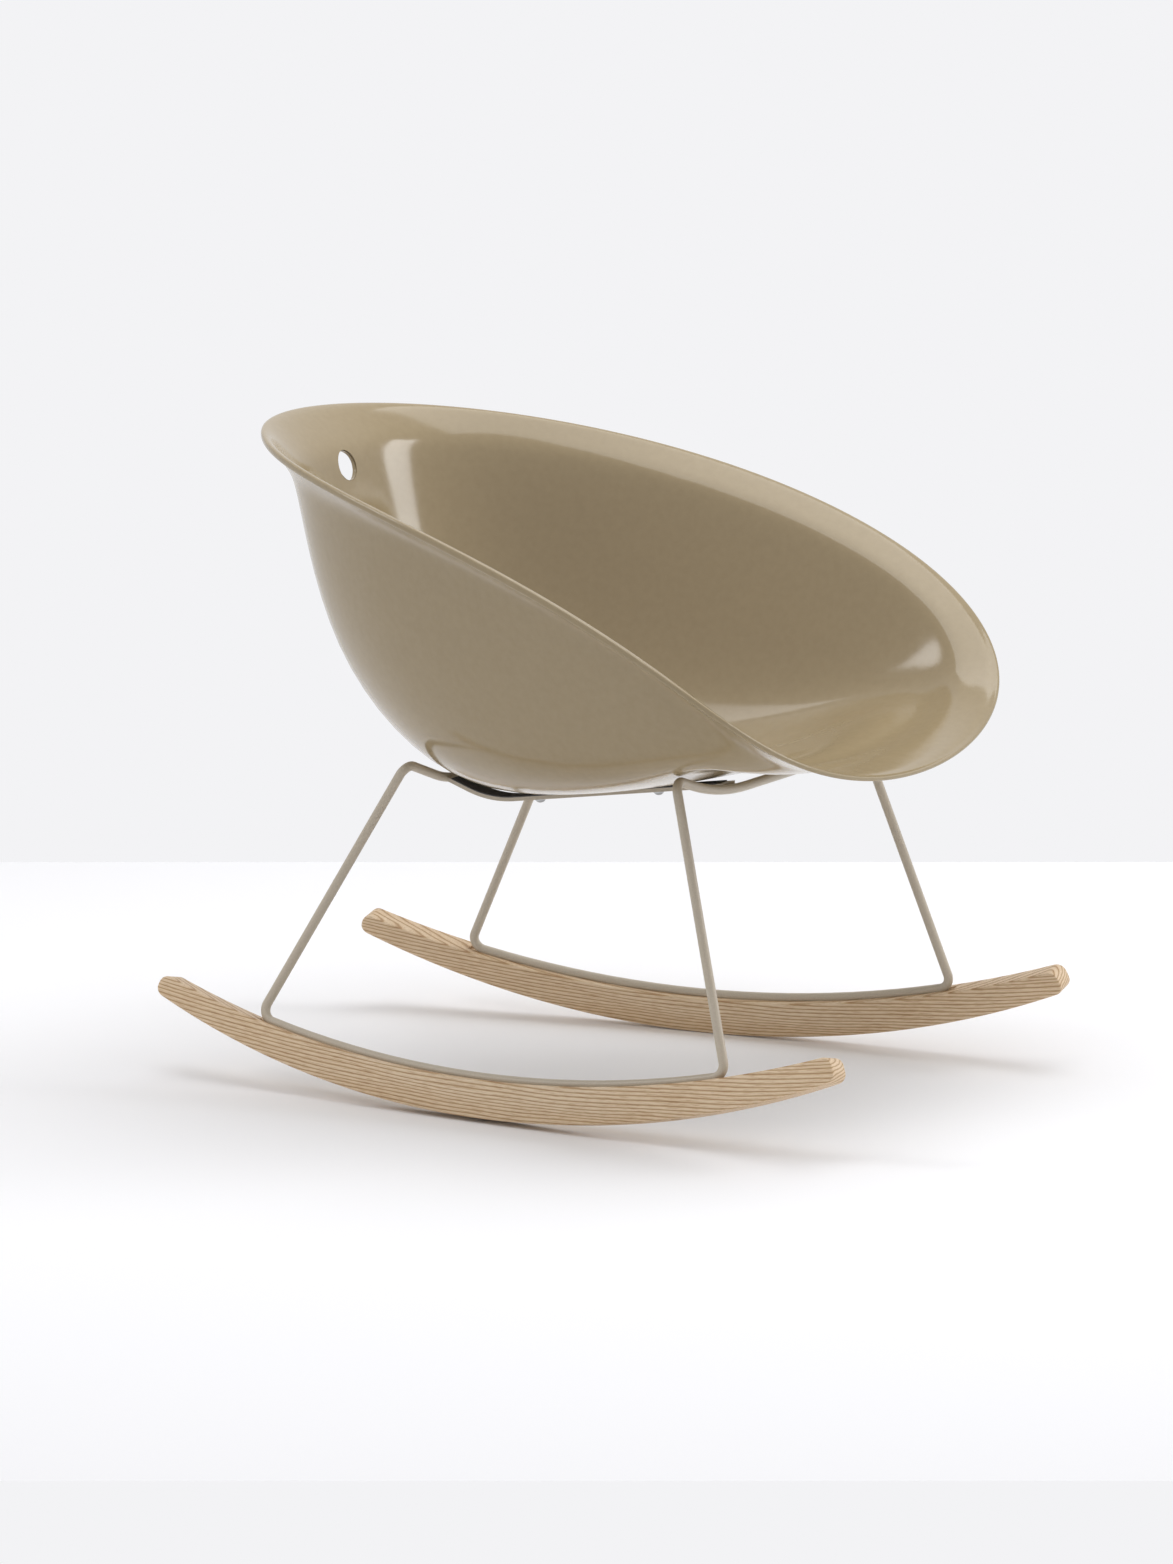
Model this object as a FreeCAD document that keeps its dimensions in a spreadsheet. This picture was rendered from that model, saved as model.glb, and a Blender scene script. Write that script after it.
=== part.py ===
import FreeCAD, Part
import os
from math import asin, cos, degrees, hypot, pi, radians, sin, sqrt, tan

# Moulded plastic rocking chair, in millimetres and degrees.
# X runs across the chair with the sitter's left at +X, the front faces -Y and Z is up.
# The origin is the point on the floor midway between the places where the runners touch it.

Vector = FreeCAD.Vector
Placement = FreeCAD.Placement
Rotation = FreeCAD.Rotation
UP = Vector(0, 0, 1)
ACROSS = Vector(1, 0, 0)
SIDES = {"right": -1, "left": 1}

# name in the sheet: (size, what it is)
SIZES = {
    # lip of the shell: its plan is a rounded triangle, wide at the front and narrower at the back
    "lip_half_width": (355.0, "first harmonic of the lip's half width"),
    "lip_square": (18.0, "third harmonic of the half width, which fills the corners"),
    "lip_centre": (-85.0, "middle of the lip, front to back"),
    "lip_half_depth": (375.0, "first harmonic of the lip's depth"),
    "lip_egg": (73.0, "second harmonic of the depth, which rounds the back"),
    "lip_blunt": (4.0, "third harmonic of the depth, which flattens the front"),
    "lip_height": (543.8, "mean height of the lip"),
    "lip_tilt": (164.0, "rise of the lip from its mean height to the back"),
    "lip_sag": (15.0, "how far the sides of the lip stand above a flat tilted plane"),
    "shell_wall": (5.5, "wall of the moulding"),
    "hand_hole_diameter": (33.0, "hole at the top of the back"),
    "hand_hole_y": (300.7, "hole's centre on the inner face, front to back"),
    "hand_hole_z": (636.7, "height of the hole's centre"),
    "hand_hole_tilt": (22.0, "how far the hole's axis points below level to the rear"),
    # flat underside of the shell
    "seat_pitch": (8.4, "rise of the seat towards the front"),
    "floor_half_width": (114.0, "half width of the flat underside"),
    "floor_rear": (42.0, "rear end of the flat underside"),
    "floor_front": (-190.0, "front end of the flat underside"),
    # bent steel rod
    "rod_diameter": (10.0, "steel rod"),
    "rear_rod_y": (132.0, "rear cross rod, front to back"),
    "rear_rod_z": (320.3, "rear cross rod, height of its level middle"),
    "rear_saddle_x": (79.0, "where the rear cross rod turns up, from the middle"),
    "rear_saddle_bend": (150.0, "radius of that turn"),
    "rear_corner_x": (162.0, "rear top corner of the frame, from the middle"),
    "rear_corner_z": (349.8, "rear top corner, height"),
    "front_rod_y": (-211.4, "front cross rod, front to back"),
    "front_rod_z": (339.6, "front cross rod, height of its level middle"),
    "front_saddle_x": (108.0, "where the front cross rod turns up, from the middle"),
    "front_saddle_bend": (390.0, "radius of that turn"),
    "front_corner_x": (198.0, "front top corner of the frame, from the middle"),
    "front_corner_z": (368.8, "front top corner, height"),
    "rod_bend": (13.0, "radius at the top corners and the feet, on the rod's middle line"),
    # flat rails under the seat
    "rail_centre": (75.0, "middle of each rail, from the middle of the chair"),
    "rail_width": (25.0, "flat bar"),
    "rail_thickness": (4.0, "flat bar"),
    "rail_weld_gap": (0.05, "gap between the rail's ends and the cross rods, which the welds close"),
    "rail_front_rise": (2.3, "how far the rail's underside meets the front cross rod above its middle line"),
    "rail_knee": (75.0, "where the rail turns up to the rear cross rod, front to back"),
    "rail_knee_bend": (120.0, "radius of that turn"),
    "pad_thickness": (1.0, "black pad on top of the rail"),
    "pad_front": (-197.0, "front end of the pad"),
    "pad_rear": (122.0, "rear end of the pad"),
    "pad_hole_gap": (0.5, "gap round each boss in the pad"),
    # screws that hold the shell
    "shell_screw_front": (-123.0, "front pair of screws, front to back"),
    "shell_screw_rear": (20.0, "rear pair of screws, front to back"),
    "shell_screw_thread": (6.0, "thread of the screws"),
    "shell_screw_length": (12.0, "length under the head"),
    "shell_screw_head": (10.5, "button head"),
    "shell_screw_head_height": (3.3, "button head"),
    "shell_screw_socket": (4.0, "hexagon socket, across flats"),
    "shell_screw_hole": (6.4, "hole in the rail and the washer"),
    "shell_washer_diameter": (12.0, "washer"),
    "shell_washer_thickness": (1.6, "washer"),
    "boss_diameter": (16.0, "moulded boss round each insert"),
    "boss_height": (3.5, "how far the bosses hold the shell off the rails"),
    "insert_diameter": (8.0, "brass insert"),
    "insert_length": (6.0, "brass insert"),
    "insert_hole_depth": (7.2, "hole for the insert and the screw's end"),
    "thread_gap": (0.15, "gap round screws in their threads and inserts in their holes"),
    # ash runners
    "runner_spread": (250.0, "middle of each runner from the middle of the chair, at the origin"),
    "runner_toe": (3.7, "how much each runner turns outwards to the front"),
    "runner_lean": (12.2, "how much each runner leans inwards at the top"),
    "runner_width": (26.0, "thickness of the board"),
    "runner_height": (40.0, "depth of the board in the middle"),
    "rocking_radius": (1087.0, "radius of the underside"),
    "rest_turn": (0.565, "how far the chair tips forward until it balances"),
    "top_radius": (1293.0, "radius of the upper edge"),
    "top_shift": (-9.0, "lowest point of the upper edge, forward of the origin"),
    "runner_rear": (416.0, "reach of the runner behind the origin"),
    "runner_front": (437.0, "reach of the runner in front of the origin"),
    "runner_round": (10.0, "radius at the runner's ends"),
    "groove_depth": (3.0, "how deep the rod sits in the upper edge"),
    "groove_gap": (0.15, "gap round the rod in its groove"),
    "groove_overrun": (17.0, "how far the groove runs past the rod's bends"),
    "rear_foot": (-267.0, "rear end of the rod's run in its groove, forward of the origin"),
    "front_foot": (287.0, "front end of the rod's run in its groove, forward of the origin"),
    # screws from below through each runner into its rod
    "runner_screw_thread": (5.0, "thread of the screws"),
    "runner_screw_length": (20.0, "length under the head"),
    "runner_screw_head": (9.5, "button head"),
    "runner_screw_head_height": (2.75, "button head"),
    "runner_screw_socket": (3.0, "hexagon socket, across flats"),
    "runner_screw_hole": (5.4, "hole in the runner and the washer"),
    "runner_screw_spacing": (232.0, "end screws, from the middle one along the rod"),
    "runner_screw_seat": (19.0, "seat of the washer below the middle of the rod"),
    "runner_washer_diameter": (10.0, "washer"),
    "runner_washer_thickness": (1.0, "washer"),
    "counterbore_diameter": (12.0, "hole for the head, in the underside of the runner"),
    "tapped_depth": (7.0, "threaded hole in the rod"),
    "head_rim": (0.5, "straight edge of a button head"),
    "socket_depth": (2.0, "hexagon socket"),
}

# Section of the shell at stations round the chair, in degrees from the middle of the back to the
# middle of the front. Both sides are alike.
STATIONS = [0.0, 25.0, 60.0, 90.0, 135.0, 180.0]
SECTION = {
    # width of the turned lip, and how far the wall starts below the lip's edge, in mm
    "lip_width": [54, 29, 31, 36, 42, 46],
    "lip_drop": [42, 36, 28, 24, 8, -4],
    # where the seat turns up into the wall: share of the way out, and rise above the floor in mm
    "turn_share": [0.49, 0.48, 0.54, 0.60, 0.58, 0.52],
    "turn_rise": [38, 34, 22, 16, 28, 12],
    # where the wall bulges: share of the way down from its top, and its lean as a share of that
    "wall_share": [0.60, 0.57, 0.58, 0.60, 0.50, 0.35],
    "wall_lean": [0.24, 0.20, 0.22, 0.30, 0.60, 1.20],
    # height of the rolled edge in mm
    "edge_height": [8, 8.5, 9, 9, 6, 4],
}
SLICES = 48
# The same all round: shares of the way across the lip or down its drop, and distances in mm
FLAT_SHARE = 0.16
FRONT_TUCK = 45.0
NECK_DEPTH = 22.0
NECK_DEPTH_FRONT = 2.0
NECK_WIDTH = 6.0
NECK_WIDTH_FRONT = 20.0
LIP_INNER = {"across": 0.62, "down": 0.42, "below": 6.0, "below_front": 0.0}
LIP_OUTER = {"across": 0.25, "down": 0.10, "below": 5.0, "below_front": 2.0}
EDGE_FOOT = 3.0
EDGE_OUTSIDE = 0.8
EDGE_SWELL = 0.8
EDGE_CROWN = 1.2
EDGE_INSIDE = {"across": 6.0, "above": 0.6, "down": 0.03}
SKIN_DEGREE = 3
HAND_HOLE_REACH = 40.0

doc = FreeCAD.newDocument("rocking_chair")
sheet = doc.addObject("Spreadsheet::Sheet", "sizes")
for row, (name, (value, note)) in enumerate(SIZES.items(), 1):
    sheet.set("A%d" % row, name)
    sheet.set("B%d" % row, str(value))
    sheet.set("C%d" % row, note)
    sheet.setAlias("B%d" % row, name)
doc.recompute()

subparts = []


def size(name):
    return float(getattr(sheet, name))


def add(kind, name, placement=None, **links):
    item = doc.addObject(kind, name)
    if placement:
        item.Placement = placement
    for prop, formula in links.items():
        item.setExpression(prop, formula)
    return item


def subpart(item, label, placement=Placement()):
    item.Label = label
    item.Placement = at_rest() * placement
    subparts.append(item)


def cut(name, base, tools):
    joined = tools[0]
    if len(tools) > 1:
        joined = add("Part::MultiFuse", name + "_tools")
        joined.Shapes = tools
    result = add("Part::Cut", name)
    result.Base = base
    result.Tool = joined
    return result


# Seat plane: the flat top of the rails, which run between the cross rods and carry the shell

PITCH = radians(size("seat_pitch"))
SEAT_NORMAL = Vector(0, sin(PITCH), cos(PITCH))
SEAT_TURN = Rotation(ACROSS, -size("seat_pitch"))


def cross_rod_height(end, x):
    """Height of the front or rear cross rod's middle line at a distance x from the middle of the chair."""
    low = size(end + "_rod_z")
    saddle = size(end + "_saddle_x")
    bend = size(end + "_saddle_bend")
    slope = (size(end + "_corner_z") - low) / (size(end + "_corner_x") - saddle)
    angle = asin(slope / hypot(1, slope))
    past = max(0.0, x - saddle + bend * tan(angle / 2))
    return low + bend - sqrt(bend ** 2 - past ** 2)


def rail_front():
    return size("front_rod_y") + size("rod_diameter") / 2 + size("rail_weld_gap")


def rail_rear():
    return size("rear_rod_y") - size("rod_diameter") / 2 - size("rail_weld_gap")


def rail_underside(y):
    """Height of the straight part of a rail's underside."""
    front_height = cross_rod_height("front", size("rail_centre")) + size("rail_front_rise")
    return front_height - (y - rail_front()) * tan(PITCH)


def on_seat(side, y, height):
    """Placement over a rail, square to the seat, at a height above the rail's underside."""
    base = Vector(side * size("rail_centre"), y, rail_underside(y))
    return Placement(base + SEAT_NORMAL * height, SEAT_TURN)


def floor_height(y):
    """Height of the shell's flat underside."""
    return rail_underside(y) + (size("rail_thickness") + size("boss_height")) / cos(PITCH)


# Runner plane: each runner toes out to the front and leans in at the top

def runner_frame(side):
    """Placement of a runner: its x runs forward along the board and its y up across it."""
    toe = radians(size("runner_toe"))
    lean = radians(size("runner_lean"))
    forward = Vector(side * sin(toe), -cos(toe), 0)
    outward = Vector(side * cos(toe), sin(toe), 0)
    upward = UP * cos(lean) - outward * sin(lean)
    lift = size("runner_width") / 2 * sin(lean)
    base = Vector(side * size("runner_spread"), 0, lift)
    return Placement(base, Rotation(forward, upward, forward.cross(upward), "XYZ"))


def at_rest():
    """Turn and shift of the whole chair that balance it with its lowest point on the floor at Y = 0."""
    turn = Rotation(ACROSS, size("rest_turn"))
    frame = Placement(Vector(), turn) * runner_frame(SIDES["left"])
    forward, upward, inward = (frame.Rotation.multVec(axis) for axis in (ACROSS, Vector(0, 1, 0), UP))
    radius = size("rocking_radius")
    lowest = -radius / hypot(forward.z, upward.z)
    inner_edge = frame.Base + inward * (size("runner_width") / 2)
    contact = inner_edge + upward * radius + (forward * forward.z + upward * upward.z) * lowest
    return Placement(Vector(0, -contact.y, -contact.z), turn)


def rod_run_radius():
    return size("top_radius") + size("groove_depth") - size("rod_diameter") / 2


def run_centre():
    """Centre of the upper edge and of the rod's run, in the runner's plane."""
    return Vector(size("top_shift"), size("top_radius") + size("runner_height"), 0)


def on_run(angle, drop=0.0):
    """Placement in the runner's plane, on the rod's middle line or below it, with Z towards the centre."""
    turn = Rotation(Vector(0, 0, 1), degrees(angle)) * Rotation(ACROSS, -90)
    reach = rod_run_radius() + drop
    return Placement(run_centre() + Vector(sin(angle), -cos(angle), 0) * reach, turn)


def run_angle(forward):
    return asin((forward - size("top_shift")) / rod_run_radius())


def runner_screw_angles():
    step = size("runner_screw_spacing") / rod_run_radius()
    middle = (run_angle(size("rear_foot")) + run_angle(size("front_foot"))) / 2
    return {"front": middle + step, "middle": middle, "rear": middle - step}


# Shell

def section_curve(name):
    """Smooth curve through the station values, level at the back and at the front."""
    curve = Part.BSplineCurve()
    curve.interpolate(
        Points=[Vector(a, v, 0) for a, v in zip(STATIONS, SECTION[name])],
        Parameters=STATIONS,
        InitialTangent=ACROSS,
        FinalTangent=ACROSS,
        Scale=False,
    )
    return curve


def lip_point(turn):
    """Point of the lip's edge; the turn runs from the back towards the sitter's left."""
    x = size("lip_half_width") * sin(turn) + size("lip_square") * sin(3 * turn)
    y = size("lip_centre") + size("lip_half_depth") * cos(turn) + size("lip_egg") * cos(2 * turn)
    y += size("lip_blunt") * cos(3 * turn)
    z = size("lip_height") + size("lip_tilt") * cos(turn) - size("lip_sag") * cos(2 * turn)
    return Vector(x, y, z)


def lip_outward(turn):
    """Level direction square to the lip's plan."""
    x = size("lip_half_width") * cos(turn) + 3 * size("lip_square") * cos(3 * turn)
    y = size("lip_half_depth") * sin(turn) + 2 * size("lip_egg") * sin(2 * turn)
    y += 3 * size("lip_blunt") * sin(3 * turn)
    return Vector(y, x, 0).normalize()


def outer_points(turn, at):
    """Control points of the shell's outer side, from the flat underside up to the rolled edge."""
    edge = lip_point(turn)
    out = lip_outward(turn)
    front = max(0.0, -cos(turn)) ** 2
    middle = (size("floor_rear") + size("floor_front")) / 2
    half = (size("floor_rear") - size("floor_front")) / 2
    rim_y = middle + half * cos(turn)
    rim = Vector(size("floor_half_width") * sin(turn), rim_y, floor_height(rim_y))
    wall_top = edge - out * at["lip_width"] - UP * at["lip_drop"]
    level = Vector(wall_top.x - rim.x, wall_top.y - rim.y, 0)
    flat_end = rim + level * FLAT_SHARE
    flat_end.z = floor_height(flat_end.y)
    turn_up = rim + level * at["turn_share"]
    turn_up.z = floor_height(turn_up.y) + at["turn_rise"]
    rise = max(0.0, wall_top.z - rim.z)
    bulge = wall_top - UP * (rise * at["wall_share"]) - out * (rise * at["wall_share"] * at["wall_lean"])
    bulge -= level * (FRONT_TUCK * front / level.Length)
    neck_depth = NECK_DEPTH + (NECK_DEPTH_FRONT - NECK_DEPTH) * front
    neck_width = NECK_WIDTH + (NECK_WIDTH_FRONT - NECK_WIDTH) * front
    below_lip = wall_top - UP * neck_depth - out * neck_width
    lip = []
    for share in (LIP_INNER, LIP_OUTER):
        below = share["below"] + (share["below_front"] - share["below"]) * front
        down = share["down"] * at["lip_drop"] + below
        lip.append(edge - out * (share["across"] * at["lip_width"]) - UP * down)
    return [rim, flat_end, turn_up, bulge, below_lip, wall_top] + lip


def edge_points(turn, at):
    """Control points of the rolled edge, from its foot over the top to its inner side."""
    edge = lip_point(turn)
    out = lip_outward(turn)
    tall = at["edge_height"]
    foot = edge - out * EDGE_FOOT - UP * tall
    outside = edge + out * EDGE_SWELL - UP * (EDGE_OUTSIDE * tall)
    top = edge + out * EDGE_SWELL + UP * EDGE_CROWN
    inside = edge - out * EDGE_INSIDE["across"]
    inside += UP * (EDGE_INSIDE["above"] - EDGE_INSIDE["down"] * at["lip_drop"])
    return [foot, outside, top, inside]


def through(ring):
    """Control points of a closed cubic that passes close to the given ring of points."""
    count = len(ring)
    ahead = [ring[(i + 1) % count] for i in range(count)]
    behind = [ring[i - 1] for i in range(count)]
    return [ring[i] - (ahead[i] - ring[i] * 2 + behind[i]) * (1 / 6) for i in range(count)]


def shell_skin():
    """Closed skin of the shell: outer side, rolled edge and inner side in one surface."""
    curves = {name: section_curve(name) for name in SECTION}
    outer = []
    edges = []
    for i in range(SLICES):
        turn = 2 * pi * i / SLICES
        angle = min(degrees(turn), 360 - degrees(turn))
        at = {name: curve.value(angle).y for name, curve in curves.items()}
        outer.append(outer_points(turn, at))
        edges.append(edge_points(turn, at))

    rows = []
    for i in range(SLICES):
        inner = []
        for j, point in enumerate(outer[i]):
            if j < 2:
                normal = SEAT_NORMAL
            else:
                above = edges[i][0] if j == len(outer[i]) - 1 else outer[i][j + 1]
                along = above - outer[i][j - 1]
                around = outer[(i + 1) % SLICES][j] - outer[i - 1][j]
                normal = around.cross(along).normalize()
            inner.append(point + normal * size("shell_wall"))
        rows.append(outer[i] + edges[i] + inner[::-1])

    columns = [through([row[j] for row in rows]) for j in range(len(rows[0]))]
    poles = [[column[i] for column in columns] for i in range(SLICES)]
    spans = len(columns) - SKIN_DEGREE
    surface = Part.BSplineSurface()
    surface.buildFromPolesMultsKnots(
        poles,
        [1] * (SLICES + 1),
        [SKIN_DEGREE + 1] + [1] * (spans - 1) + [SKIN_DEGREE + 1],
        [float(i) for i in range(SLICES + 1)],
        [float(i) for i in range(spans + 1)],
        True, False, SKIN_DEGREE, SKIN_DEGREE,
    )
    skin = surface.toShape()
    ends = [Part.Face(Part.Wire(edge)) for edge in skin.Edges if edge.isClosed()]
    closed = Part.makeShell([skin] + ends)
    closed.sewShape()
    return Part.Solid(closed)


def make_shell():
    skin = add("Part::Feature", "shell_skin")
    skin.Shape = shell_skin()
    bosses = []
    holes = []
    for side in SIDES.values():
        for y in (size("shell_screw_front"), size("shell_screw_rear")):
            foot = on_seat(side, y, size("rail_thickness"))
            bosses.append(add(
                "Part::Cylinder", "boss", foot,
                Radius="sizes.boss_diameter / 2",
                Height="sizes.boss_height + sizes.shell_wall / 2",
            ))
            holes.append(add(
                "Part::Cylinder", "insert_hole", foot,
                Radius="sizes.insert_diameter / 2 + sizes.thread_gap",
                Height="sizes.insert_hole_depth",
            ))
    with_bosses = add("Part::MultiFuse", "shell_with_bosses")
    with_bosses.Shapes = [skin] + bosses
    tilt = radians(size("hand_hole_tilt"))
    reach = HAND_HOLE_REACH
    axis = Vector(0, cos(tilt), -sin(tilt))
    start = Vector(0, size("hand_hole_y"), size("hand_hole_z")) - axis * reach
    hand_hole = add(
        "Part::Cylinder", "hand_hole", Placement(start, Rotation(UP, axis)),
        Radius="sizes.hand_hole_diameter / 2",
    )
    hand_hole.Height = 2 * reach
    subpart(cut("shell", with_bosses, holes + [hand_hole]), "tub_shell")


# Bent steel rods

def bend(before, corner, after, radius):
    """Start, middle and end of the arc that rounds a corner between two straight runs."""
    back = (before - corner).normalize()
    on = (after - corner).normalize()
    half = back.getAngle(on) / 2
    reach = radius / tan(half)
    centre = corner + (back + on).normalize() * (radius / sin(half))
    middle = centre + (corner - centre).normalize() * radius
    return corner + back * reach, middle, corner + on * reach


def foot_corner(top, end, outward):
    """Corner where the line of a leg meets the straight line that leaves the end of the rod's run."""
    corner = end + outward * size("rod_bend")
    for _ in range(8):
        half = (top - corner).getAngle(outward * -1) / 2
        corner = end + outward * (size("rod_bend") / tan(half))
    return corner


def rod_path(side):
    """Middle line of one rod, from the middle of the rear cross rod to the middle of the front one."""
    frame = runner_frame(side)
    rear_y = size("rear_rod_y")
    front_y = size("front_rod_y")
    rear_corner = Vector(side * size("rear_corner_x"), rear_y, size("rear_corner_z"))
    front_corner = Vector(side * size("front_corner_x"), front_y, size("front_corner_z"))
    rear_angle = run_angle(size("rear_foot"))
    front_angle = run_angle(size("front_foot"))
    run = [frame.multVec(on_run(a).Base) for a in (rear_angle, (rear_angle + front_angle) / 2, front_angle)]
    rearward = frame.Rotation.multVec(Vector(-cos(rear_angle), -sin(rear_angle), 0))
    forward = frame.Rotation.multVec(Vector(cos(front_angle), sin(front_angle), 0))
    corners = [
        (Vector(side * size("rear_saddle_x"), rear_y, size("rear_rod_z")), size("rear_saddle_bend")),
        (rear_corner, size("rod_bend")),
        (foot_corner(rear_corner, run[0], rearward), size("rod_bend")),
        (foot_corner(front_corner, run[2], forward), size("rod_bend")),
        (front_corner, size("rod_bend")),
        (Vector(side * size("front_saddle_x"), front_y, size("front_rod_z")), size("front_saddle_bend")),
    ]
    start = Vector(0, rear_y, size("rear_rod_z"))
    finish = Vector(0, front_y, size("front_rod_z"))
    before_corner = [start, corners[0][0], corners[1][0], run[2], corners[3][0], corners[4][0]]
    after_corner = [corners[1][0], corners[2][0], run[0], corners[4][0], corners[5][0], finish]
    edges = []
    at = start
    for i, (corner, radius) in enumerate(corners):
        first, middle, last = bend(before_corner[i], corner, after_corner[i], radius)
        if i == 3:
            edges.append(Part.Arc(at, run[1], first).toShape())
        else:
            edges.append(Part.LineSegment(at, first).toShape())
        edges.append(Part.Arc(first, middle, last).toShape())
        at = last
    edges.append(Part.LineSegment(at, finish).toShape())
    return Part.Wire(edges)


def make_frame_rod(word, side):
    path = add("Part::Feature", "rod_path_" + word)
    path.Shape = rod_path(side)
    start = Vector(0, size("rear_rod_y"), size("rear_rod_z"))
    round_section = add(
        "Part::Circle", "rod_section_" + word, Placement(start, Rotation(UP, ACROSS)),
        Radius="sizes.rod_diameter / 2",
    )
    rod = add("Part::Sweep", "rod_" + word)
    rod.Sections = [round_section]
    rod.Spine = (path, ["Edge%d" % (i + 1) for i in range(len(path.Shape.Edges))])
    rod.Solid = True
    holes = []
    for angle in runner_screw_angles().values():
        holes.append(add(
            "Part::Cylinder", "tapped_hole",
            runner_frame(side) * on_run(angle, size("rod_diameter") / 2),
            Radius="sizes.runner_screw_thread / 2 + sizes.thread_gap",
            Height="sizes.tapped_depth",
        ))
    subpart(cut("frame_rod_" + word + "_drilled", rod, holes), "frame_rod_" + word)


# Rails and pads

def bar_line(offset, front, rear):
    """Points of a line along the rail at a height above its underside: front, knee arc, rear."""
    knee_y = size("rail_knee")
    knee = Vector(0, knee_y, rail_underside(knee_y))
    rear_height = cross_rod_height("rear", size("rail_centre")) - size("rail_thickness") / 2
    rear_slope = (rear_height - knee.z) / (rail_rear() - knee_y)
    rear_angle = asin(rear_slope / hypot(1, rear_slope))
    rear_normal = Vector(0, -sin(rear_angle), cos(rear_angle))
    half = (PITCH + rear_angle) / 2
    shifted = knee + (SEAT_NORMAL + rear_normal).normalize() * (offset / cos(half))
    first = Vector(0, front, shifted.z + (shifted.y - front) * tan(PITCH))
    last = Vector(0, rear, shifted.z + (rear - shifted.y) * rear_slope)
    arc = bend(first, shifted, last, size("rail_knee_bend") - offset)
    return [first, *arc, last]


def flat(point):
    """The same point in the sketch of the plane across X."""
    return Vector(point.y, point.z, 0)


def bar_body(name, side, low, high, front, rear):
    """Bent flat bar between two heights above the rail's underside, as a sketch and a pad."""
    body = add("PartDesign::Body", name + "_body")
    sketch = body.newObject("Sketcher::SketchObject", name + "_sketch")
    across = [item for item in body.Origin.OriginFeatures if item.Role == "YZ_Plane"]
    sketch.AttachmentSupport = [(across[0], "")]
    sketch.MapMode = "FlatFace"
    lower = [flat(point) for point in bar_line(low, front, rear)]
    upper = [flat(point) for point in bar_line(high, front, rear)]
    for line in (lower, upper):
        sketch.addGeometry(Part.LineSegment(line[0], line[1]))
        sketch.addGeometry(Part.ArcOfCircle(line[1], line[2], line[3]))
        sketch.addGeometry(Part.LineSegment(line[3], line[4]))
    sketch.addGeometry(Part.LineSegment(lower[0], upper[0]))
    sketch.addGeometry(Part.LineSegment(lower[-1], upper[-1]))
    pad = body.newObject("PartDesign::Pad", name + "_pad")
    pad.Profile = sketch
    pad.SideType = "Symmetric"
    pad.setExpression("Length", "sizes.rail_width")
    body.setExpression(".Placement.Base.x", "%d * sizes.rail_centre" % side)
    return body


def seat_holes(side, height, **links):
    """Cylinders across the rail or the pad at the front and rear shell screws."""
    places = [on_seat(side, y, height) for y in (size("shell_screw_front"), size("shell_screw_rear"))]
    return [add("Part::Cylinder", "seat_hole", place, **links) for place in places]


def make_rail(word, side):
    name = "seat_rail_" + word
    bar = bar_body(name, side, 0.0, size("rail_thickness"), rail_front(), rail_rear())
    holes = seat_holes(
        side, -1.0,
        Radius="sizes.shell_screw_hole / 2",
        Height="sizes.rail_thickness + 2",
    )
    subpart(cut(name + "_drilled", bar, holes), name)


def make_pad(word, side):
    name = "rail_pad_" + word
    low = size("rail_thickness")
    high = low + size("pad_thickness")
    bar = bar_body(name, side, low, high, size("pad_front"), size("pad_rear"))
    holes = seat_holes(
        side, low - 1.0,
        Radius="sizes.boss_diameter / 2 + sizes.pad_hole_gap",
        Height="sizes.pad_thickness + 2",
    )
    subpart(cut(name + "_holed", bar, holes), name)


# Runners

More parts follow.
